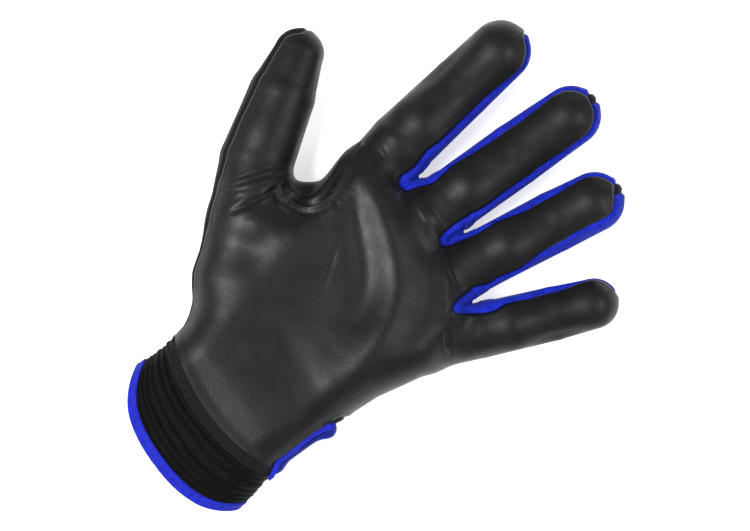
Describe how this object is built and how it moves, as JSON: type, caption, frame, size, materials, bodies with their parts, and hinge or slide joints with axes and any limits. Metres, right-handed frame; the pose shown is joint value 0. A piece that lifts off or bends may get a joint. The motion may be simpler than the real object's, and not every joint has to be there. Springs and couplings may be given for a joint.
{
  "type": "hockey glove",
  "caption": "Left-hand sports glove with a smooth leather palm, stretch knit finger sides, a ribbed pull-on cuff with bound edge and a hook-and-loop wrist strap.",
  "frame": {"origin": "on the resting plane, under the middle of the palm", "axes": "+X towards the little finger, +Y towards the fingertips, +Z out of the palm; the glove lies on the back of the hand"},
  "size_m": [0.1785, 0.2319, 0.041],
  "materials": {
    "palm_leather": "satin, fine grain",
    "blue_knit": "matte fine knit",
    "blue_binding": "matte stretch binding",
    "back_fabric": "matte stretch fabric",
    "cuff_neoprene": "matte ribbed neoprene jersey",
    "overlock_tape": "matte zigzag-stitched knit tape",
    "strap_fabric": "matte webbing",
    "hook_and_loop": "rough hook-and-loop tape",
    "lining_cloth": "matte brushed lining"
  },
  "bodies": {
    "hand": {"back_panel": "back_fabric", "cuff_back_panel": "back_fabric", "cuff_binding": "blue_binding", "cuff_join_tape": "overlock_tape", "cuff_rib_panel": "cuff_neoprene", "loop_patch": "hook_and_loop", "palm_panel": "palm_leather", "thumb_gusset": "palm_leather", "web_index_middle": "blue_knit", "web_middle_ring": "blue_knit", "web_ring_little": "blue_knit", "wrist_piping": "blue_binding"},
    "thumb_base": {"thumb_base_back": "back_fabric", "thumb_base_leather": "palm_leather", "thumb_base_lining": "lining_cloth"},
    "thumb_tip": {"thumb_tip_back": "back_fabric", "thumb_tip_leather": "palm_leather", "thumb_tip_lining": "lining_cloth"},
    "index_base": {"index_base_back": "back_fabric", "index_base_fourchette_ulnar": "blue_knit", "index_base_leather": "palm_leather", "index_base_lining": "lining_cloth"},
    "index_tip": {"index_tip_back": "back_fabric", "index_tip_fourchette_ulnar": "blue_knit", "index_tip_leather": "palm_leather", "index_tip_lining": "lining_cloth"},
    "middle_base": {"middle_base_back": "back_fabric", "middle_base_fourchette_radial": "blue_knit", "middle_base_fourchette_ulnar": "blue_knit", "middle_base_leather": "palm_leather", "middle_base_lining": "lining_cloth"},
    "middle_tip": {"middle_tip_back": "back_fabric", "middle_tip_fourchette_radial": "blue_knit", "middle_tip_fourchette_ulnar": "blue_knit", "middle_tip_leather": "palm_leather", "middle_tip_lining": "lining_cloth"},
    "ring_base": {"ring_base_back": "back_fabric", "ring_base_fourchette_radial": "blue_knit", "ring_base_fourchette_ulnar": "blue_knit", "ring_base_leather": "palm_leather", "ring_base_lining": "lining_cloth"},
    "ring_tip": {"ring_tip_back": "back_fabric", "ring_tip_fourchette_radial": "blue_knit", "ring_tip_fourchette_ulnar": "blue_knit", "ring_tip_leather": "palm_leather", "ring_tip_lining": "lining_cloth"},
    "little_base": {"little_base_back": "back_fabric", "little_base_fourchette_radial": "blue_knit", "little_base_leather": "palm_leather", "little_base_lining": "lining_cloth"},
    "little_tip": {"little_tip_back": "back_fabric", "little_tip_fourchette_radial": "blue_knit", "little_tip_leather": "palm_leather", "little_tip_lining": "lining_cloth"},
    "strap": {"wrist_strap": "strap_fabric", "hook_patch": "hook_and_loop"}
  },
  "joints": [
    {"name": "thumb_root_bend", "type": "hinge", "parent": "hand", "child": "thumb_base", "pos_m": [-0.0692, 0.0312, 0.0155], "axis": [0.728, 0.4691, -0.5], "range_deg": [-10, 45]},
    {"name": "thumb_middle_bend", "type": "hinge", "parent": "thumb_base", "child": "thumb_tip", "pos_m": [-0.08328, 0.05305, 0.0155], "axis": [0.728, 0.4691, -0.5], "range_deg": [0, 60]},
    {"name": "index_root_bend", "type": "hinge", "parent": "hand", "child": "index_base", "pos_m": [-0.0403, 0.087, 0.0135], "axis": [0.9942, 0.108, 0], "range_deg": [-10, 60]},
    {"name": "index_middle_bend", "type": "hinge", "parent": "index_base", "child": "index_tip", "pos_m": [-0.04332, 0.11484, 0.0135], "axis": [0.9942, 0.108, 0], "range_deg": [0, 70]},
    {"name": "middle_root_bend", "type": "hinge", "parent": "hand", "child": "middle_base", "pos_m": [-0.0067, 0.087, 0.0135], "axis": [1, 0, 0], "range_deg": [-10, 60]},
    {"name": "middle_middle_bend", "type": "hinge", "parent": "middle_base", "child": "middle_tip", "pos_m": [-0.0067, 0.117, 0.0135], "axis": [1, 0, 0], "range_deg": [0, 70]},
    {"name": "ring_root_bend", "type": "hinge", "parent": "hand", "child": "ring_base", "pos_m": [0.0221, 0.086, 0.0135], "axis": [0.9893, -0.1461, 0], "range_deg": [-10, 60]},
    {"name": "ring_middle_bend", "type": "hinge", "parent": "ring_base", "child": "ring_tip", "pos_m": [0.02619, 0.1137, 0.0135], "axis": [0.9893, -0.1461, 0], "range_deg": [0, 70]},
    {"name": "little_root_bend", "type": "hinge", "parent": "hand", "child": "little_base", "pos_m": [0.0484, 0.0682, 0.0126], "axis": [0.9311, -0.3649, 0], "range_deg": [-10, 60]},
    {"name": "little_middle_bend", "type": "hinge", "parent": "little_base", "child": "little_tip", "pos_m": [0.05716, 0.09055, 0.0126], "axis": [0.9311, -0.3649, 0], "range_deg": [0, 70]},
    {"name": "strap_swing", "type": "hinge", "parent": "hand", "child": "strap", "pos_m": [0.0438, -0.029, 0.019], "axis": [0, -1, 0], "range_deg": [0, 120]}
  ]
}
